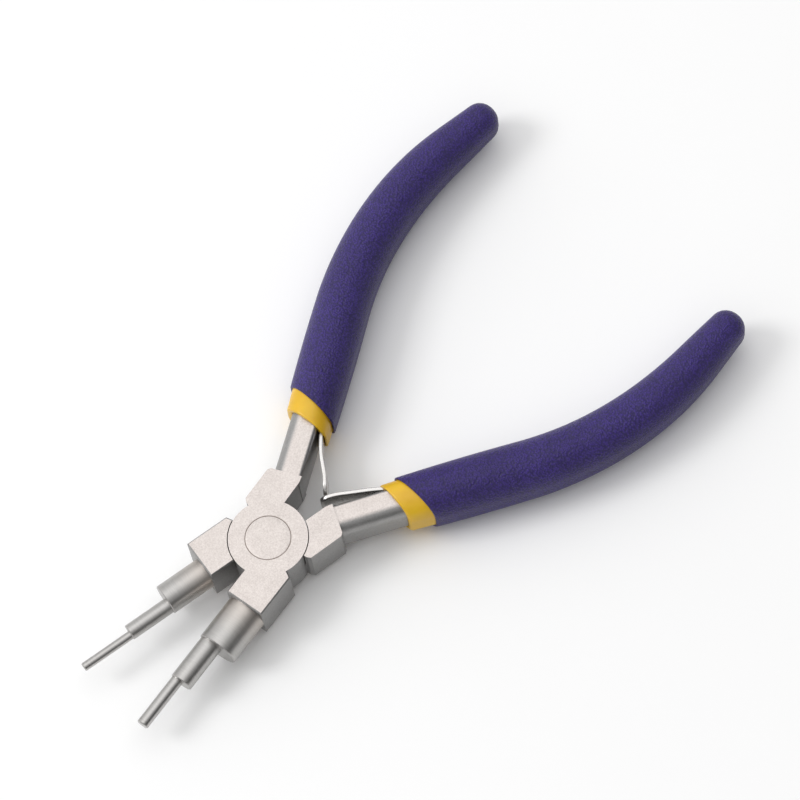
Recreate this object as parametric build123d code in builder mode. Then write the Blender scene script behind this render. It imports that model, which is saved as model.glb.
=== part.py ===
"""Six-step wire looping pliers: two lap-jointed forgings on a flush pivot rivet, with stepped
round jaws, a pair of leaf springs between the handles and double-layer vinyl grips.

Millimetres and degrees. The pivot axis is Z and Z = 0 is the joint's flat underside. +X runs
between the jaws, towards their tips. Lever A has its handle on the -Y side, its jaw on the +Y
side and the upper half of the lap joint. Lever B is the same forging turned over about X, with
slimmer barrels. The shapes are written once, for the closed pliers and for lever A's way up.
Each lever's own planes turn them over where needed and open to the rest position.
"""

from build123d import *
import os
from math import cos, radians, sin

# Rest position
half_opening = 9.0  # each arm, from closed
jaw_lean = 1.0  # both jaws lean this much towards lever B's side

# Lap joint
joint_thickness = 10.4
disc_radius = 8.0
rim_clearance = 0.20  # between a disc and the other lever's recess
face_clearance = 0.04  # between the two discs
edge_break = 0.25  # ground bevel along the outline of the flat faces

# Pivot rivet, riveted tight in lever A and running in lever B
rivet_radius = 3.5
rivet_head_radius = 4.6
rivet_head_depth = 1.1
rivet_clearance = 0.03

# Jaw block and the stepped barrels, which lie along one straight line beside the X axis
jaw_gap = 0.3  # left between the jaws when they are parallel
jaw_block_end = 13.6
jaw_block_width = 8.65
jaw_block_start = 4.15
jaw_shoulder = (3.0, 6.6)
barrel_lengths = (9.6, 9.6, 11.3)
barrel_radii_a = (4.25, 2.35, 1.25)
barrel_radii_b = (3.2, 1.65, 0.9)
barrel_break = 0.15  # bevel round each barrel's end
barrel_set_back = 0.2  # each barrel lies this much further from the jaw line than the last

# Arm block, between the joint and the handle
arm_block_width = 8.7
arm_block_start = 4.3
arm_inner_side = 1.6
arm_block_foot = ((-12.9, -1.75), (-14.3, -2.1), (-12.3, -8.2), (-11.7, -arm_block_width))
arm_shoulder = ((-3.7, -8.1), (-3.2, -6.8))

# Handle line: a straight run, a bend back towards the middle and a short straight end
handle_start = (-13.0, -4.9)
handle_slope = 20.0
handle_straight = 40.0
handle_bend_radius = 72.0
handle_bend = 32.5
handle_length = 94.0

# Steel tang along the handle line
tang_width = 6.0
tang_height = 9.8
tang_inner_round = 0.8
tang_outer_round = 2.7
tang_end = 84.0
tang_end_width = 4.2
tang_end_height = 6.4
tang_foot = -1.5  # where it starts, inside the arm block
tang_bend_stations = (handle_straight, 51.0, 62.0, 73.0, tang_end)

# Grip: a thick outer layer over an inner liner that shows at the mouth
grip_stations = (7.0, 30.0, 50.0, 70.0, 82.0, handle_length)
grip_widths = (10.2, 11.1, 10.6, 9.9, 8.8, 6.7)
grip_heights = (12.7, 13.5, 13.0, 12.0, 10.6, 8.2)
grip_roundness = 0.48  # corner radius of a section over its width
grip_end_round = 2.9
grip_wall = 0.55
liner_end_round = 2.2
grip_shift = 0.5  # inward at the mouth, where the leaf spring lies beside the tang
mouth_at = 12.4
mouth_slant = 22.0
grip_edge_at = 16.5
grip_edge_slant = 28.0

# Leaf springs, riveted to the tangs' inner sides under the grips
leaf_thickness = 0.8
leaf_width = 5.8
leaf_root = 25.0
leaf_lift = 15.0
leaf_rivet_at = 20.0
leaf_rivet_radius = 1.0
leaf_rivet_head_radius = 1.7
leaf_rivet_head = 0.45
leaf_rivet_dome = 0.36
leaf_rivet_depth = 2.2
leaf_curve_a = ((-23.2, -4.65), (-20.1, -2.2), (-17.7, 0.2), (-16.2, 1.4), (-14.6, 2.6))
leaf_curve_b = ((-23.0, -4.25), (-21.0, -3.05), (-18.1, -1.4), (-16.0, -0.25), (-13.2, 0.95))
leaf_tip_direction = (1.0, 0.6)
leaf_pocket = 0.3  # room beside each leaf where it comes out of the liner
leaf_slot_lead = 1.0  # the liner's slot reaches this far past the leaf's lift-off and into the tang

# Lever A's way up, and lever B's, turned over about X
way_a, way_b = 1, -1
jaw_turn_a = half_opening - jaw_lean
jaw_turn_b = half_opening + jaw_lean
half_thickness = joint_thickness / 2


def lever_plane(way, angle, height=0.0):
    """The closed lever's plane at a height over mid-thickness, its way up, opened by an angle."""
    along = (cos(radians(angle)), way * sin(radians(angle)), 0)
    return Plane(origin=(0, 0, half_thickness + way * height), x_dir=along, z_dir=(0, 0, way))


def handle_line(s):
    """Point and heading on the handle line at length s."""
    heading = radians(180 + handle_slope)
    x, y = handle_start
    run = min(s, handle_straight)
    x, y = x + run * cos(heading), y + run * sin(heading)
    bent = min(max(s - handle_straight, 0), handle_bend_radius * radians(handle_bend))
    end_heading = heading - bent / handle_bend_radius
    x += handle_bend_radius * (sin(heading) - sin(end_heading))
    y -= handle_bend_radius * (cos(heading) - cos(end_heading))
    rest = max(s - run - bent, 0)
    return x + rest * cos(end_heading), y + rest * sin(end_heading), end_heading


def handle_point(s, inward):
    """Point beside the handle line at length s, shifted towards the other handle."""
    x, y, heading = handle_line(s)
    return x + inward * sin(heading), y - inward * cos(heading)


def handle_plane(way, s, inward=0.0, slant=0.0):
    """Plane across the handle at length s, facing its end, its X towards the other handle."""
    flat = lever_plane(way, half_opening)
    heading = handle_line(s)[2] - radians(slant)
    centre = flat.from_local_coords(Vector(*handle_point(s, inward), 0))
    outward = flat.x_dir * cos(heading) + flat.y_dir * sin(heading)
    across = flat.x_dir * sin(heading) - flat.y_dir * cos(heading)
    return Plane(origin=centre, x_dir=across, z_dir=outward)


def tang_side_plane(way, s, out=0.0):
    """Plane on the tang's inner side at length s, or beyond it, facing the other handle."""
    across = handle_plane(way, s, inward=tang_width / 2 + out)
    return Plane(origin=across.origin, x_dir=across.z_dir, z_dir=across.x_dir)


def tang_section(way, s):
    """Section of the tang at length s: even at first, then tapering to its end."""
    share = max(s - handle_straight, 0) / (tang_end - handle_straight)
    wide = tang_width + (tang_end_width - tang_width) * share
    high = tang_height + (tang_end_height - tang_height) * share
    outer_round = tang_outer_round * wide / tang_width
    with BuildSketch(handle_plane(way, s)) as section:
        with BuildLine():
            FilletPolyline(
                (wide / 2, high / 2), (-wide / 2, high / 2),
                (-wide / 2, -high / 2), (wide / 2, -high / 2),
                radius=[tang_inner_round, outer_round, outer_round, tang_inner_round],
                close=True,
            )
        make_face()
    return section.sketch


def forging(way, jaw_turn, barrel_radii, clearance):
    """One lever: jaw block, arm block, half-thickness disc, stepped barrels and tang."""
    gap = jaw_gap / 2
    jaw_line = lever_plane(way, jaw_turn)
    with BuildPart() as body:
        # Full-thickness blocks, which run in under the disc
        with BuildSketch(lever_plane(way, jaw_turn, -half_thickness)):
            Polygon(
                (0, gap), (jaw_block_end, gap), (jaw_block_end, jaw_block_width),
                (jaw_block_start, jaw_block_width), jaw_shoulder, align=None,
            )
        extrude(amount=joint_thickness)
        with BuildSketch(lever_plane(way, half_opening, -half_thickness)):
            Polygon(
                (0, -arm_inner_side), *arm_block_foot, (-arm_block_start, -arm_block_width),
                *arm_shoulder, align=None,
            )
        extrude(amount=joint_thickness)
        flats = body.faces().filter_by(Axis.Z).sort_by(Axis.Z)
        chamfer(flats[0].edges() + flats[-1].edges(), edge_break)
        # Recess for the other lever's disc
        with BuildSketch(lever_plane(way, 0, face_clearance / 2)):
            Circle(disc_radius + rim_clearance)
        extrude(amount=-joint_thickness, mode=Mode.SUBTRACT)
        # Own disc
        with BuildSketch(lever_plane(way, 0, face_clearance / 2)):
            Circle(disc_radius)
        extrude(amount=half_thickness - face_clearance / 2)
        # Tang: straight at first, then blended from section to section round the bend
        extrude(tang_section(way, tang_foot), amount=handle_straight - tang_foot)
        loft([tang_section(way, s) for s in tang_bend_stations])
        # Barrels
        start, side = jaw_block_end, gap
        for length, radius in zip(barrel_lengths, barrel_radii):
            foot = jaw_line.from_local_coords(Vector(start, side + radius, 0))
            with BuildSketch(Plane(origin=foot, z_dir=jaw_line.x_dir)):
                Circle(radius)
            extrude(amount=length)
            end_face = body.faces().sort_by(Axis(jaw_line.origin, jaw_line.x_dir))[-1]
            chamfer(end_face.edges(), barrel_break)
            start += length
            side += barrel_set_back
        # Rivet hole with its countersink
        with BuildSketch(lever_plane(way, 0)):
            Circle(rivet_radius + clearance)
        extrude(amount=half_thickness, both=True, mode=Mode.SUBTRACT)
        with BuildSketch(lever_plane(way, 0, half_thickness)):
            Circle(rivet_head_radius + clearance)
        with BuildSketch(lever_plane(way, 0, half_thickness - rivet_head_depth)):
            Circle(rivet_radius + clearance)
        loft(mode=Mode.SUBTRACT)
        # Blind hole for the leaf spring's rivet
        with BuildSketch(tang_side_plane(way, leaf_rivet_at)):
            Circle(leaf_rivet_radius)
        extrude(amount=-leaf_rivet_depth, mode=Mode.SUBTRACT)
    return body.part


def leaf_spring(way, blade):
    """One leaf: a flat root against the tang and a curved blade that leaves it."""
    slope = radians(handle_slope)
    leave = (cos(slope), sin(slope))
    root, lift = [Vector(*handle_point(s, tang_width / 2)) for s in (leaf_root, leaf_lift)]
    with BuildPart() as leaf:
        with BuildSketch(lever_plane(way, half_opening, -leaf_width / 2)):
            with BuildLine():
                Line(root, lift)
                inner = Spline(lift, *blade, tangents=[leave, leaf_tip_direction])
                # The outer face runs a leaf's thickness to the left of the inner one
                count = len(blade)
                turns = [(inner % (n / count), inner @ (n / count)) for n in range(count + 1)]
                points = [p + leaf_thickness * Vector(-d.Y, d.X) for d, p in turns]
                outer = Spline(*points, tangents=[leave, leaf_tip_direction])
                Line(inner @ 1, outer @ 1)
                back = root + leaf_thickness * Vector(-leave[1], leave[0])
                Polyline(outer @ 0, back, root)
            make_face()
        extrude(amount=leaf_width)
        with BuildSketch(tang_side_plane(way, leaf_rivet_at)):
            Circle(leaf_rivet_radius)
        extrude(amount=leaf_thickness, mode=Mode.SUBTRACT)
    return leaf.part


def leaf_rivet(way):
    """Small rivet through a leaf's root into the tang, with a low domed head."""
    with BuildPart() as rivet:
        with BuildSketch(tang_side_plane(way, leaf_rivet_at, -leaf_rivet_depth)):
            Circle(leaf_rivet_radius)
        extrude(amount=leaf_rivet_depth + leaf_thickness)
        with BuildSketch(tang_side_plane(way, leaf_rivet_at, leaf_thickness)):
            Circle(leaf_rivet_head_radius)
        extrude(amount=leaf_rivet_head)
        rim = rivet.edges().filter_by(GeomType.CIRCLE).group_by(SortBy.RADIUS)[-1]
        top = rim.sort_by(tang_side_axis(way))[-1]
        fillet(top, leaf_rivet_dome)
    return rivet.part


def tang_side_axis(way):
    """Direction out of the tang's inner side at the leaf's rivet."""
    plane = tang_side_plane(way, leaf_rivet_at)
    return Axis(plane.origin, plane.z_dir)


def sleeve_shape(way, wall, end_round):
    """Solid outline of a grip layer, thinner all round than the grip by a wall."""
    with BuildPart() as shape:
        for station, wide, high in zip(grip_stations, grip_widths, grip_heights):
            s = min(station, handle_length - wall)
            inward = grip_shift * max(1 - s / handle_straight, 0)
            with BuildSketch(handle_plane(way, s, inward)):
                width = wide - 2 * wall
                RectangleRounded(width, high - 2 * wall, grip_roundness * width)
        loft()
        end = handle_plane(way, handle_length)
        tip_edges = shape.faces().sort_by(Axis(end.origin, end.z_dir))[-1].edges()
        fillet(tip_edges, end_round)
    return shape.part


def liner(way, lever, leaf, rivet, blade):
    """Inner layer: fits the tang and the leaf's root, open at a slanted mouth."""
    side, over = tang_width / 2, leaf_thickness + leaf_pocket
    start, inside = leaf_lift + leaf_slot_lead, side - leaf_slot_lead
    near, far = [(x, y + over) for x, y in blade[:2]]
    with BuildPart() as sleeve:
        add(sleeve_shape(way, grip_wall, liner_end_round))
        split(bisect_by=handle_plane(way, mouth_at, 0, mouth_slant), keep=Keep.TOP)
        # Slot beside the tang, where the leaf lifts off and comes out
        with BuildSketch(lever_plane(way, half_opening, -leaf_width / 2 - leaf_pocket)):
            Polygon(
                handle_point(start, inside), handle_point(0, inside), far, near,
                handle_point(start, side + over), align=None,
            )
        extrude(amount=leaf_width + 2 * leaf_pocket, mode=Mode.SUBTRACT)
        for inner in (lever, leaf, rivet):
            add(inner, mode=Mode.SUBTRACT)
    return sleeve.part


def grip(way):
    """Outer layer: fits over the liner and leaves its mouth showing."""
    with BuildPart() as sleeve:
        add(sleeve_shape(way, 0.0, grip_end_round))
        split(bisect_by=handle_plane(way, grip_edge_at, 0, grip_edge_slant), keep=Keep.TOP)
        add(sleeve_shape(way, grip_wall, liner_end_round), mode=Mode.SUBTRACT)
    return sleeve.part


lever_a = forging(way_a, jaw_turn_a, barrel_radii_a, 0.0)
lever_b = forging(way_b, jaw_turn_b, barrel_radii_b, rivet_clearance)

# Pivot rivet: shank and two countersunk heads, ground flush with the joint's faces
with BuildPart() as pivot_rivet:
    with BuildSketch(Plane.XZ):
        with BuildLine():
            Polyline(
                (0, 0), (rivet_head_radius, 0), (rivet_radius, rivet_head_depth),
                (rivet_radius, joint_thickness - rivet_head_depth),
                (rivet_head_radius, joint_thickness), (0, joint_thickness),
                close=True,
            )
        make_face()
    revolve(axis=Axis.Z)

leaf_spring_a = leaf_spring(way_a, leaf_curve_a)
leaf_spring_b = leaf_spring(way_b, leaf_curve_b)
leaf_rivet_a = leaf_rivet(way_a)
leaf_rivet_b = leaf_rivet(way_b)
liner_a = liner(way_a, lever_a, leaf_spring_a, leaf_rivet_a, leaf_curve_a)
liner_b = liner(way_b, lever_b, leaf_spring_b, leaf_rivet_b, leaf_curve_b)
grip_a = grip(way_a)
grip_b = grip(way_b)

os.makedirs("parts", exist_ok=True)
pieces = {
    "lever_a": lever_a,
    "lever_b": lever_b,
    "pivot_rivet": pivot_rivet.part,
    "leaf_spring_a": leaf_spring_a,
    "leaf_spring_b": leaf_spring_b,
    "leaf_rivet_a": leaf_rivet_a,
    "leaf_rivet_b": leaf_rivet_b,
    "liner_a": liner_a,
    "liner_b": liner_b,
    "grip_a": grip_a,
    "grip_b": grip_b,
}
for name, piece in pieces.items():
    piece.label = name
    export_step(piece, f"parts/{name}.step")
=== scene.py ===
"""Looks of the stepped looping pliers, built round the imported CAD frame. Metres.

The CAD levers and leaf rivets stay and get their steel. The grips, the inner sleeves, the leaf
springs and the pivot rivet are replaced by finer meshes in the same places. A lever's shapes are
written for the closed pliers and lever A's way up, and turned over about X for lever B.
"""

from math import cos, pi, radians, sin, tan

import bpy
import numpy as np
from mathutils import Matrix, Vector


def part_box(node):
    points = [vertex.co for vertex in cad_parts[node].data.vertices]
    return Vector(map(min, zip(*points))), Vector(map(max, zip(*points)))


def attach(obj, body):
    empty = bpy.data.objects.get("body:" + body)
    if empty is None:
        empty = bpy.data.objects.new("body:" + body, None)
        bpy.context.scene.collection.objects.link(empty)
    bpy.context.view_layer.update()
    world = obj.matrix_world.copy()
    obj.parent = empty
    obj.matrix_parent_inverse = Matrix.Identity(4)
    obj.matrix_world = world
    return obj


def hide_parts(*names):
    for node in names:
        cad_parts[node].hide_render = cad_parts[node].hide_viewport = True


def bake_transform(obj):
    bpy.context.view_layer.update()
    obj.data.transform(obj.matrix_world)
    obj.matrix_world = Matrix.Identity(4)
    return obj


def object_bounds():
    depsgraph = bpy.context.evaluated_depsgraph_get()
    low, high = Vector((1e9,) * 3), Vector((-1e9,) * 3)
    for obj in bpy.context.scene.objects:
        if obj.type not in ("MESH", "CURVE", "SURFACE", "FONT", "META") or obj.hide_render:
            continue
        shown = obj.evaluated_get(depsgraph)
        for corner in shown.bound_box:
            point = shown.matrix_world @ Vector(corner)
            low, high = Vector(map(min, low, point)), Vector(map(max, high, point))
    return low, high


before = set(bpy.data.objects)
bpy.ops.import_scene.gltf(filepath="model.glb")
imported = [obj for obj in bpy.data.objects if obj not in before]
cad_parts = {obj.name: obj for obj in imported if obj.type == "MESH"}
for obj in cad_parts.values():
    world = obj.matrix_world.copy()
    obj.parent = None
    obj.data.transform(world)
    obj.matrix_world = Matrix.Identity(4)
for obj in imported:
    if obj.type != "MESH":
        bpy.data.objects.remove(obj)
cad_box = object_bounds()
MM = 0.001

# Rest position and joint
HALF_OPENING = radians(9)
JAW_TURNS = {"a": radians(8), "b": radians(10)}
WAYS = {"a": 1, "b": -1}
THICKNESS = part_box("pivot_rivet")[1].z
HALF_THICKNESS = THICKNESS / 2

# Handle line: a straight run, a bend back towards the middle and a short straight end
HANDLE_START = (-13.0 * MM, -4.9 * MM)
HANDLE_HEADING = radians(200)
HANDLE_STRAIGHT = 40 * MM
HANDLE_BEND_RADIUS = 72 * MM
HANDLE_BEND = radians(32.5)
HANDLE_LENGTH = 94 * MM

# Steel tang inside the handle
TANG_WIDTH, TANG_HEIGHT = 6.0 * MM, 9.8 * MM
TANG_END = 84 * MM
TANG_END_WIDTH, TANG_END_HEIGHT = 4.2 * MM, 6.4 * MM
TANG_INNER_ROUND, TANG_OUTER_ROUND = 0.8 * MM, 2.7 * MM

# Grip layers
STATIONS = np.array([0, 7, 30, 50, 70, 82, 88.5, 94]) * MM
WIDTHS = np.array([9.8, 10.2, 11.1, 10.6, 9.9, 8.8, 7.8, 7.0]) * MM
HEIGHTS = np.array([12.2, 12.7, 13.5, 13.0, 12.0, 10.6, 9.5, 8.5]) * MM
ROUNDNESS = 0.48
GRIP_SHIFT = 0.5 * MM
GRIP_WALL = 0.55 * MM
LAYER_GAP = 0.03 * MM
GRIP_BOTTOM = 3 * MM  # thickness of the grip's closed end
MOUTH_AT, MOUTH_SLANT = 12.4 * MM, radians(22)
EDGE_AT, EDGE_SLANT = 16.5 * MM, radians(28)
SLANT_FADE = 16 * MM
RING_POINTS = 22  # per corner of a section
RING_STEP = 1.5 * MM
BODY_RINGS = 50
DOME_TURNS = np.radians([15, 30, 45, 58, 70, 80, 90])
# A layer's lip: length along the handle in millimetres, and share of the way to its cavity
LIP = ((0.5, 1.0), (0.12, 0.95), (0.0, 0.78), (0.0, 0.3), (0.07, 0.12), (0.2, 0.03), (0.45, 0.0))
GRIP_END_ROUND, LINER_END_ROUND = 3.1 * MM, 2.3 * MM
HALVINGS = 30  # in the search for the cavity's wall
SHARP_ANGLE = radians(50)

# Leaf springs
LEAF_THICKNESS, LEAF_WIDTH = 0.8 * MM, 5.8 * MM
LEAF_ROOT, LEAF_LIFT = 25 * MM, 15 * MM
LEAF_SLOT = (4.35 * MM, 3.2 * MM)  # depth from the handle line, half height
LEAF_SLOT_ROUND = 0.3 * MM
LEAF_EASE = 0.14 * MM  # rounding of its long edges
ROOT_RINGS, BLADE_RINGS = 7, 60
LEAF_TIP_LEAST = 0.05 * MM  # the last ring is closed this far short of the tip's round
LEAF_CURVES = {
    "a": ((-23.2, -4.65), (-20.1, -2.2), (-17.7, 0.2), (-16.2, 1.4), (-14.6, 2.6)),
    "b": ((-23.0, -4.25), (-21.0, -3.05), (-18.1, -1.4), (-16.0, -0.25), (-13.2, 0.95)),
}
LEAF_TIP_DIRECTION = (1.0, 0.6)
LEAF_TIP_ROUND = 1.9 * MM

# Pivot rivet
RIVET_RADIUS, RIVET_HEAD_RADIUS, RIVET_HEAD_DEPTH = 3.5 * MM, 4.6 * MM, 1.1 * MM
RIVET_GROOVE = 0.11 * MM
RIVET_TURNS = 128

# Jaws
BARRELS_FROM = 13.6 * MM
BARRELS_TO = 44 * MM
PAINTED_REFLECTION_RUN = 7 * MM  # how far the painted brownish reflection reaches from the block
TURNING_ALONG, TURNING_ROUND = 4500.0, 400.0  # turning marks per metre, along and round a barrel


# ---------------------------------------------------------------- shapes

def handle_line(s):
    """Point and heading on the handle line at length s."""
    x, y = HANDLE_START
    run = min(s, HANDLE_STRAIGHT)
    x, y = x + run * cos(HANDLE_HEADING), y + run * sin(HANDLE_HEADING)
    bent = min(max(s - HANDLE_STRAIGHT, 0), HANDLE_BEND_RADIUS * HANDLE_BEND)
    end_heading = HANDLE_HEADING - bent / HANDLE_BEND_RADIUS
    x += HANDLE_BEND_RADIUS * (sin(HANDLE_HEADING) - sin(end_heading))
    y -= HANDLE_BEND_RADIUS * (cos(HANDLE_HEADING) - cos(end_heading))
    rest = max(s - run - bent, 0)
    return x + rest * cos(end_heading), y + rest * sin(end_heading), end_heading


def lever_point(way, x, y, z):
    """Point of the closed lever, A's way up, in the row frame at rest."""
    c, s = cos(HALF_OPENING), sin(HALF_OPENING)
    return x * c - y * s, way * (x * s + y * c), HALF_THICKNESS + way * z


def handle_point(way, s, inward, z):
    """Point at length s on the handle, inward of its line and z above it, in the row frame."""
    x, y, heading = handle_line(s)
    return lever_point(way, x + inward * sin(heading), y - inward * cos(heading), z)


def spline_slopes(places, values, ends=None):
    """Slopes of the smooth cubic through values at places, with given or free end slopes."""
    gaps = np.diff(places)
    steps = np.diff(values, axis=0) / gaps.reshape(-1, *[1] * (values.ndim - 1))
    count = len(places)
    system, wanted = np.zeros((count, count)), np.zeros_like(values)
    for i in range(1, count - 1):
        system[i, i - 1:i + 2] = gaps[i], 2 * (gaps[i - 1] + gaps[i]), gaps[i - 1]
        wanted[i] = 3 * (gaps[i] * steps[i - 1] + gaps[i - 1] * steps[i])
    if ends is None:
        system[0, :2] = system[-1, -2:] = 1, 1
        wanted[0], wanted[-1] = 2 * steps[0], 2 * steps[-1]
    else:
        system[0, 0] = system[-1, -1] = 1
        wanted[0], wanted[-1] = ends
    return np.linalg.solve(system, wanted)


def spline_at(places, values, slopes, at):
    """Value of that cubic at one place."""
    i = int(np.clip(np.searchsorted(places, at) - 1, 0, len(places) - 2))
    gap = places[i + 1] - places[i]
    t = (at - places[i]) / gap
    return (
        (2 * t**3 - 3 * t**2 + 1) * values[i] + (t**3 - 2 * t**2 + t) * gap * slopes[i]
        + (3 * t**2 - 2 * t**3) * values[i + 1] + (t**3 - t**2) * gap * slopes[i + 1]
    )


WIDTH_SLOPES = spline_slopes(STATIONS, WIDTHS)
HEIGHT_SLOPES = spline_slopes(STATIONS, HEIGHTS)


def layer_section(s, inset):
    """Rounded section of a grip layer at length s, as (inward, z) points, inset from the grip."""
    wide = spline_at(STATIONS, WIDTHS, WIDTH_SLOPES, s) / 2 - inset
    high = spline_at(STATIONS, HEIGHTS, HEIGHT_SLOPES, s) / 2 - inset
    corner = 2 * ROUNDNESS * wide
    shift = GRIP_SHIFT * max(1 - s / HANDLE_STRAIGHT, 0)
    points = []
    for quarter in range(4):
        for step in range(RING_POINTS):
            angle = (quarter + step / (RING_POINTS - 1)) * pi / 2
            side = 1 if quarter in (0, 3) else -1
            level = 1 if quarter in (0, 1) else -1
            x = side * (wide - corner) + corner * cos(angle) + shift
            z = level * (high - corner) + corner * sin(angle)
            points.append((x, z))
    return np.array(points)


def rounded_distance(points, middle, half, corner):
    """Distance outside a rounded rectangle, negative inside."""
    q = np.abs(points - middle) - half + corner[:, None]
    outside = np.linalg.norm(np.maximum(q, 0), axis=1)
    return outside + np.minimum(q.max(axis=1), 0) - corner


def opening_section(s, outline):
    """Section of the liner's cavity at length s: the tang, and the leaf beside it."""
    share = min(max((s - HANDLE_STRAIGHT) / (TANG_END - HANDLE_STRAIGHT), 0), 1)
    half = np.array([TANG_WIDTH + (TANG_END_WIDTH - TANG_WIDTH) * share,
                     TANG_HEIGHT + (TANG_END_HEIGHT - TANG_HEIGHT) * share]) / 2 + LAYER_GAP
    slot_depth = LEAF_SLOT[0] if s < LEAF_ROOT else half[0]
    slot_half = np.array([slot_depth / 2, min(LEAF_SLOT[1], half[1] / 2)])
    low, high = np.zeros(len(outline)), np.ones(len(outline))
    for _ in range(HALVINGS):
        middle = (low + high) / 2
        points = outline * middle[:, None]
        corner = np.where(points[:, 0] > 0, TANG_INNER_ROUND, TANG_OUTER_ROUND)
        tang = rounded_distance(points, np.zeros(2), half, corner)
        slot_corner = np.full(len(outline), LEAF_SLOT_ROUND)
        slot = rounded_distance(points, np.array([slot_depth / 2, 0]), slot_half, slot_corner)
        inside = np.minimum(tang, slot) < 0
        low, high = np.where(inside, middle, low), np.where(inside, high, middle)
    return outline * low[:, None]


def bridge(count, ring_size):
    """Faces between rings, and a fan over each end, where the last two points are its middles."""
    faces = []
    for ring in range(count - 1):
        for k in range(ring_size):
            a, b = ring * ring_size + k, ring * ring_size + (k + 1) % ring_size
            faces.append((a, b, b + ring_size, a + ring_size))
    last = (count - 1) * ring_size
    for k in range(ring_size):
        n = (k + 1) % ring_size
        faces.append((n, k, count * ring_size))
        faces.append((last + k, last + n, count * ring_size + 1))
    return faces


def new_piece(name, rings, material):
    """Closed smooth mesh through equal rings of points, its ends closed by fans."""
    rings = [np.asarray(ring, float) for ring in rings]
    vertices = np.concatenate([*rings, [rings[0].mean(axis=0)], [rings[-1].mean(axis=0)]])
    mesh = bpy.data.meshes.new(name)
    mesh.from_pydata(vertices.tolist(), [], bridge(len(rings), len(rings[0])))
    mesh.validate()
    piece = bpy.data.objects.new(name, mesh)
    bpy.context.scene.collection.objects.link(piece)
    bpy.context.view_layer.objects.active = piece
    bpy.ops.object.mode_set(mode="EDIT")
    bpy.ops.mesh.select_all(action="SELECT")
    bpy.ops.mesh.normals_make_consistent(inside=False)
    bpy.ops.object.mode_set(mode="OBJECT")
    mesh.shade_smooth()
    mesh.set_sharp_from_angle(angle=SHARP_ANGLE)
    mesh.materials.append(material)
    return piece


def sleeve(name, way, start, slant, inset, end_round, cavity_end, cavity, material):
    """Grip layer: a cavity, a rounded slanted lip and an outer surface with a domed end."""
    def ring(s, share, from_start, shrink=0.0):
        """Ring at length s, share of the way from the outer surface to the cavity."""
        lean = tan(slant) * max(1 - from_start / SLANT_FADE, 0)
        outer = layer_section(s, inset + shrink)
        inner = cavity(s, outer) if share > 0 else outer
        section = outer + share * (inner - outer)
        if lean > 0:
            # Each point's own length along the slanted edge, and its section there
            for k, (inward, _) in enumerate(section):
                own = s - inward * lean
                outer = layer_section(own, inset)
                inner = cavity(own, outer) if share > 0 else outer
                section[k] = outer[k] + share * (inner[k] - outer[k])
        return [handle_point(way, s - inward * lean, inward, z) for inward, z in section]

    cavity_steps = np.arange(cavity_end, start + RING_STEP, -2 * RING_STEP)
    rings = [ring(s, 1.0, s - start) for s in cavity_steps]
    rings += [ring(start + along * MM, share, along * MM) for along, share in LIP]
    dome_from = HANDLE_LENGTH - inset - end_round
    rings += [ring(s, 0.0, s - start) for s in np.linspace(start + RING_STEP, dome_from, BODY_RINGS)]
    for turn in DOME_TURNS:
        shrink = end_round * (1 - cos(turn))
        rings.append(ring(dome_from + end_round * sin(turn), 0.0, SLANT_FADE, shrink))
    return new_piece(name, rings, material)


def leaf_centre(way, curve):
    """Points along a leaf's face beside the tang, from root to tip, with their left normals."""
    side = TANG_WIDTH / 2
    face = []
    for s in (LEAF_ROOT, LEAF_LIFT):
        x, y, heading = handle_line(s)
        face.append((x + side * sin(heading), y - side * cos(heading)))
    root, lift = np.array(face)
    leave = (lift - root) / np.linalg.norm(lift - root)
    tip = np.array(LEAF_TIP_DIRECTION) / np.linalg.norm(LEAF_TIP_DIRECTION)
    points = np.array([lift, *(np.array(curve) * MM)])
    places = np.concatenate([[0], np.cumsum(np.linalg.norm(np.diff(points, axis=0), axis=1))])
    slopes = spline_slopes(places, points, (leave, tip))
    line = [root + (lift - root) * share for share in np.linspace(0, 1, ROOT_RINGS + 1)[:-1]]
    blade = np.linspace(0, places[-1], BLADE_RINGS)
    line += [spline_at(places, points, slopes, at) for at in blade]
    line = np.array(line)
    along = np.gradient(line, axis=0)
    along /= np.linalg.norm(along, axis=1)[:, None]
    return line, np.stack([-along[:, 1], along[:, 0]], axis=1)


def leaf(name, way, curve, material):
    """Leaf spring: a bent strip with eased edges and a rounded free end."""
    line, left = leaf_centre(way, curve)
    lengths = np.concatenate([[0], np.cumsum(np.linalg.norm(np.diff(line, axis=0), axis=1))])
    rings = []
    for point, normal, length in zip(line, left, lengths):
        to_tip = max(lengths[-1] - length, LEAF_TIP_LEAST)
        half = LEAF_WIDTH / 2
        if to_tip < LEAF_TIP_ROUND:
            half -= LEAF_TIP_ROUND - (LEAF_TIP_ROUND**2 - (LEAF_TIP_ROUND - to_tip)**2) ** 0.5
        ring = []
        for corner, (across, level) in enumerate(((0, -1), (1, -1), (1, 1), (0, 1))):
            for turn in (0.0, 0.5, 1.0):
                angle = (corner - 2 + turn) * pi / 2
                out = across * (LEAF_THICKNESS - 2 * LEAF_EASE) + LEAF_EASE * (1 + cos(angle))
                z = level * (half - LEAF_EASE) + LEAF_EASE * sin(angle)
                x, y = point + normal * out
                ring.append(lever_point(way, x, y, z))
        rings.append(ring)
    return new_piece(name, rings, material)


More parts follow.
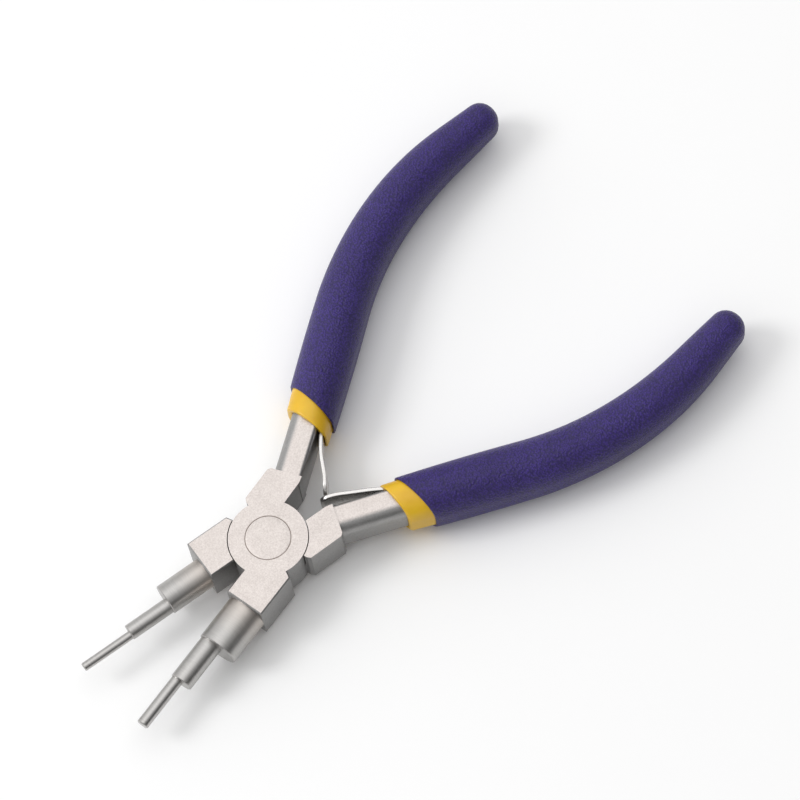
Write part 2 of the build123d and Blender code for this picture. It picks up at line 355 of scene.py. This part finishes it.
def flush_rivet(material):
    """Countersunk rivet ground flush, with a fine groove round each head."""
    edge, groove = RIVET_HEAD_RADIUS, RIVET_GROOVE
    low = [
        (edge * 0.3, 0), (edge * 0.7, 0), (edge - groove, 0),
        (edge - 0.6 * groove, 0.1 * groove), (edge - 0.35 * groove, groove),
        (RIVET_RADIUS, RIVET_HEAD_DEPTH),
    ]
    profile = low + [(r, THICKNESS - z) for r, z in reversed(low)]
    turns = np.linspace(0, 2 * pi, RIVET_TURNS, endpoint=False)
    rings = [[(r * cos(t), r * sin(t), z) for t in turns] for r, z in profile]
    return new_piece("flush_pivot_rivet", rings, material)


# ---------------------------------------------------------------- materials

class Paint:
    """A node material, with short calls for its nodes."""

    def __init__(self, name, **settings):
        self.material = bpy.data.materials.new(name)
        self.material.use_nodes = True
        self.tree = self.material.node_tree
        self.shader = self.tree.nodes["Principled BSDF"]
        for socket, value in settings.items():
            self.shader.inputs[socket.replace("_", " ")].default_value = value
        self.place = self.node("ShaderNodeTexCoord").outputs["Object"]

    def node(self, kind, inputs=None, **settings):
        made = self.tree.nodes.new(kind)
        for key, value in settings.items():
            setattr(made, key, value)
        for key, value in (inputs or {}).items():
            if isinstance(value, bpy.types.NodeSocket):
                self.tree.links.new(value, made.inputs[key])
            else:
                made.inputs[key].default_value = value
        return made

    def noise(self, size, detail=2.0, rough=0.5, vector=None):
        """Noise with features of about this size in metres."""
        inputs = {"Vector": vector or self.place, "Scale": 1 / size}
        inputs |= {"Detail": detail, "Roughness": rough}
        return self.node("ShaderNodeTexNoise", inputs).outputs["Fac"]

    def cells(self, size, smooth):
        """Distance from the middles of rounded cells of about this size."""
        inputs = {"Vector": self.place, "Scale": 1 / size, "Smoothness": smooth}
        made = self.node("ShaderNodeTexVoronoi", inputs, feature="SMOOTH_F1")
        return made.outputs["Distance"]

    def spread(self, value, low, high, to_low=0.0, to_high=1.0):
        """Value mapped from one range to another and held within it."""
        inputs = {"Value": value, "From Min": low, "From Max": high}
        inputs |= {"To Min": to_low, "To Max": to_high}
        return self.node("ShaderNodeMapRange", inputs, clamp=True).outputs["Result"]

    def maths(self, operation, first, second=0.0):
        return self.node("ShaderNodeMath", {0: first, 1: second}, operation=operation).outputs[0]

    def mix(self, share, first, second):
        inputs = {0: share, 6: first, 7: second}
        return self.node("ShaderNodeMix", inputs, data_type="RGBA").outputs[2]

    def vector_maths(self, operation, first, second=(0, 0, 0)):
        return self.node("ShaderNodeVectorMath", {0: first, 1: second}, operation=operation)

    def dot(self, vector, direction):
        return self.vector_maths("DOT_PRODUCT", vector, direction).outputs["Value"]

    def bump(self, height, distance, strength=1.0, under=None):
        inputs = {"Height": height, "Distance": distance, "Strength": strength}
        if under is not None:
            inputs["Normal"] = under
        return self.node("ShaderNodeBump", inputs).outputs["Normal"]

    def use(self, **sockets):
        for socket, value in sockets.items():
            self.tree.links.new(value, self.shader.inputs[socket.replace("_", " ")])
        return self.material


def steel(name, jaw_turn=None, way=1):
    """Satin nickel steel: blasted flat faces, plainer sides and finely turned barrels."""
    paint = Paint(name, Metallic=1.0)
    grain = paint.noise(0.30 * MM, detail=4, rough=0.75)
    mottle = paint.noise(3.5 * MM, detail=3)
    normal = paint.node("ShaderNodeTexCoord").outputs["Normal"]
    facing = paint.maths("ABSOLUTE", paint.dot(normal, (0, 0, 1)))
    flat = paint.spread(facing, 0.9, 0.99)
    speckle = paint.spread(grain, 0.3, 0.7)
    side_colour = paint.mix(speckle, (0.29, 0.285, 0.28, 1), (0.42, 0.415, 0.41, 1))
    flat_colour = paint.mix(speckle, (0.50, 0.45, 0.425, 1), (0.70, 0.65, 0.62, 1))
    colour = paint.mix(flat, side_colour, flat_colour)
    roughness = paint.spread(mottle, 0.3, 0.7, 0.40, 0.50)
    height = grain
    if jaw_turn is not None:
        along = paint.dot(paint.place, (cos(jaw_turn), way * sin(jaw_turn), 0))
        barrel = paint.spread(along, BARRELS_FROM, BARRELS_FROM + 0.05 * MM)
        parts = paint.node("ShaderNodeSeparateXYZ", {0: paint.place}).outputs
        stretched = paint.node("ShaderNodeCombineXYZ", {
            0: paint.maths("MULTIPLY", along, TURNING_ALONG),
            1: paint.maths("MULTIPLY", parts["Y"], TURNING_ROUND),
            2: paint.maths("MULTIPLY", parts["Z"], TURNING_ROUND),
        }).outputs[0]
        streaks = paint.noise(1.0, detail=3, rough=0.6, vector=stretched)
        marks = paint.spread(streaks, 0.3, 0.7)
        turned = paint.mix(marks, (0.43, 0.42, 0.41, 1), (0.49, 0.48, 0.465, 1))
        # Painted brownish reflection on the barrels, strongest at the block and fading along them
        painted_reflection = paint.spread(along, BARRELS_FROM, BARRELS_FROM + PAINTED_REFLECTION_RUN, 0.35, 0.0)
        turned = paint.mix(painted_reflection, turned, (0.60, 0.50, 0.42, 1))
        colour = paint.mix(barrel, colour, turned)
        polish = paint.spread(along, BARRELS_FROM, BARRELS_TO, 0.42, 0.28)
        smooth = paint.maths("ADD", polish, paint.spread(streaks, 0.3, 0.7, -0.02, 0.02))
        gap = paint.maths("SUBTRACT", smooth, roughness)
        roughness = paint.maths("ADD", roughness, paint.maths("MULTIPLY", gap, barrel))
        change = paint.maths("SUBTRACT", paint.maths("MULTIPLY", streaks, 0.07), grain)
        height = paint.maths("ADD", grain, paint.maths("MULTIPLY", change, barrel))
    # Fine brown line where the rivet's head meets the joint
    flattened = paint.vector_maths("MULTIPLY", paint.place, (1, 1, 0)).outputs[0]
    radius = paint.vector_maths("LENGTH", flattened).outputs["Value"]
    wander = paint.spread(paint.noise(1.5 * MM), 0.3, 0.7, -0.03 * MM, 0.03 * MM)
    beyond = paint.maths("SUBTRACT", paint.maths("ADD", radius, wander), RIVET_HEAD_RADIUS)
    off = paint.maths("ABSOLUTE", beyond)
    line = paint.spread(off, 0.05 * MM, 0.16 * MM, 0.75, 0.0)
    colour = paint.mix(line, colour, (0.20, 0.155, 0.13, 1))
    bump = paint.bump(height, 0.012 * MM, 0.5)
    return paint.use(Base_Color=colour, Roughness=roughness, Normal=bump)


def spring_steel():
    """Rolled strip with fine scratches and a plain light grey tone."""
    paint = Paint("spring_steel", Metallic=1.0)
    fine = paint.noise(0.2 * MM, detail=4, rough=0.6)
    broad = paint.noise(2.5 * MM)
    colour = paint.mix(fine, (0.52, 0.51, 0.50, 1), (0.74, 0.72, 0.70, 1))
    roughness = paint.spread(broad, 0.3, 0.7, 0.20, 0.34)
    return paint.use(Base_Color=colour, Roughness=roughness, Normal=paint.bump(fine, 0.006 * MM, 0.6))


def purple_vinyl():
    """Matte vinyl with a fine pebbled grain, painted shade in the hollows between pebbles and painted
    highlight specks on their tops.
    """
    paint = Paint("purple_vinyl", IOR=1.5, Specular_IOR_Level=0.42)
    pebble = paint.cells(0.42 * MM, smooth=0.4)
    fine = paint.noise(0.26 * MM, detail=4, rough=0.7)
    broad = paint.noise(9 * MM, detail=3)
    tone = paint.mix(paint.spread(broad, 0.3, 0.7), (0.036, 0.015, 0.180, 1), (0.050, 0.024, 0.240, 1))
    # Painted shade in the hollows between the pebbles
    tone_with_painted_shade = paint.mix(paint.spread(pebble, 0.15, 0.65, 0.0, 0.75), tone, (0.008, 0.004, 0.045, 1))
    # Painted highlight specks on the grain's high points
    colour = paint.mix(paint.spread(fine, 0.56, 0.70, 0.0, 0.45), tone_with_painted_shade, (0.10, 0.075, 0.24, 1))
    roughness = paint.spread(fine, 0.3, 0.7, 0.32, 0.46)
    height = paint.maths("ADD", paint.maths("MULTIPLY", pebble, -1.0), fine)
    rolling = paint.bump(broad, 0.25 * MM, 0.5)
    bump = paint.bump(height, 0.16 * MM, 1.0, rolling)
    return paint.use(Base_Color=colour, Roughness=roughness, Normal=bump)


def yellow_vinyl():
    """Smooth semi-gloss vinyl with a slight flow in its skin."""
    paint = Paint("yellow_vinyl", IOR=1.5, Subsurface_Weight=0.06, Subsurface_Scale=0.0008)
    broad = paint.noise(5 * MM, detail=2)
    fine = paint.noise(0.35 * MM, detail=3)
    colour = paint.mix(paint.spread(broad, 0.3, 0.7), (0.68, 0.39, 0.010, 1), (0.78, 0.48, 0.018, 1))
    roughness = paint.spread(fine, 0.3, 0.7, 0.30, 0.42)
    return paint.use(Base_Color=colour, Roughness=roughness, Normal=paint.bump(fine, 0.015 * MM, 0.6))


# ---------------------------------------------------------------- pieces

spring_paint, grip_paint, liner_paint = spring_steel(), purple_vinyl(), yellow_vinyl()
steel_paints = {key: steel(f"satin_steel_{key}", JAW_TURNS[key], way) for key, way in WAYS.items()}
for key, way in WAYS.items():
    body, other = f"half_{key}", "half_b" if key == "a" else "half_a"
    for node, paint in ((f"lever_{key}", steel_paints[key]), (f"leaf_rivet_{key}", spring_paint)):
        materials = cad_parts[node].data.materials
        materials.clear()
        materials.append(paint)

    outer_grip = sleeve(
        f"outer_grip_{key}", way, EDGE_AT, EDGE_SLANT, 0.0, GRIP_END_ROUND, HANDLE_LENGTH - GRIP_BOTTOM,
        lambda s, outline: layer_section(s, GRIP_WALL - LAYER_GAP), grip_paint)
    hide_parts(f"grip_{key}")
    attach(outer_grip, body)

    inner_sleeve = sleeve(
        f"inner_sleeve_{key}", way, MOUTH_AT, MOUTH_SLANT, GRIP_WALL, LINER_END_ROUND, TANG_END,
        opening_section, liner_paint)
    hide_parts(f"liner_{key}")
    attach(inner_sleeve, body)

    blade = leaf(f"leaf_blade_{key}", way, LEAF_CURVES[key], spring_paint)
    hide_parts(f"leaf_spring_{key}")
    lift = Vector(handle_point(way, LEAF_LIFT, TANG_WIDTH / 2, 0))
    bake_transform(blade)

rivet = flush_rivet(steel("satin_steel_rivet"))
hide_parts("pivot_rivet")
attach(rivet, "half_a")

# ---------------------------------------------------------------- camera, floor and light

scene = bpy.context.scene
scene.view_settings.view_transform = "Standard"

VIEW_ELEVATION, VIEW_YAW, VIEW_ROLL = radians(67.2), radians(215.856), radians(10.44)
PIVOT_IN_VIEW = Vector((-0.02578, -0.02923, -0.7603))  # the pivot's place before the camera
LENS = 171.8
to_view = (Matrix.Rotation(VIEW_ROLL, 3, "Z") @ Matrix.Rotation(VIEW_ELEVATION - pi / 2, 3, "X")
           @ Matrix.Rotation(VIEW_YAW, 3, "Z"))
from_view = to_view.transposed()
pivot = Vector((0, 0, HALF_THICKNESS))
camera_data = bpy.data.cameras.new("camera")
camera_data.lens = LENS
camera_data.clip_start, camera_data.clip_end = 0.05, 20
camera = bpy.data.objects.new("camera", camera_data)
camera.matrix_world = Matrix.Translation(pivot - from_view @ PIVOT_IN_VIEW) @ from_view.to_4x4()
scene.collection.objects.link(camera)
scene.camera = camera

low, high = cad_box
centre = (low + high) / 2
floor_mesh = bpy.data.meshes.new("floor")
reach = 6.0  # half the floor's width
sides = ((-reach, -reach), (reach, -reach), (reach, reach), (-reach, reach))
corners = [(x, y, low.z) for x, y in sides]
floor_mesh.from_pydata(corners, [], [(0, 1, 2, 3)])
floor = bpy.data.objects.new("floor", floor_mesh)
scene.collection.objects.link(floor)
floor_paint = Paint("floor", Roughness=0.7, Specular_IOR_Level=0.2)
floor_tone = floor_paint.mix(floor_paint.noise(0.05), (0.93, 0.93, 0.93, 1), (0.95, 0.95, 0.95, 1))
floor_mesh.materials.append(floor_paint.use(Base_Color=floor_tone))


def softbox(name, offset, size, power):
    """Square area light facing the middle, offset from it to the right, up and to the camera."""
    data = bpy.data.lights.new(name, "AREA")
    data.shape, data.size = "SQUARE", size
    data.energy = power
    light = bpy.data.objects.new(name, data)
    light.location = centre + from_view @ Vector(offset)
    light.rotation_mode = "QUATERNION"
    light.rotation_quaternion = (centre - light.location).to_track_quat("-Z", "Y")
    scene.collection.objects.link(light)


softbox("key_left", (-0.95, 0.3, 0.75), 0.45, 5.0)
softbox("overhead", (0.05, 0.95, 1.15), 1.4, 3.2)

# Soft surroundings, brighter overhead and towards the key light
world = bpy.data.worlds.new("studio")
scene.world = world
world.use_nodes = True
nodes, links = world.node_tree.nodes, world.node_tree.links
bright_side = (from_view @ Vector((-0.75, 0.45, 0.2)) + Vector((0, 0, 0.9))).normalized()
ray = nodes.new("ShaderNodeTexCoord")
towards = nodes.new("ShaderNodeVectorMath")
towards.operation = "DOT_PRODUCT"
towards.inputs[1].default_value = bright_side
strength = nodes.new("ShaderNodeMapRange")
strength.inputs["From Min"].default_value, strength.inputs["From Max"].default_value = -0.1, 1.0
strength.inputs["To Min"].default_value, strength.inputs["To Max"].default_value = 0.08, 1.15
links.new(ray.outputs["Generated"], towards.inputs[0])
links.new(towards.outputs["Value"], strength.inputs["Value"])
links.new(strength.outputs["Result"], nodes["Background"].inputs["Strength"])
nodes["Background"].inputs["Color"].default_value = (1, 1, 1, 1)
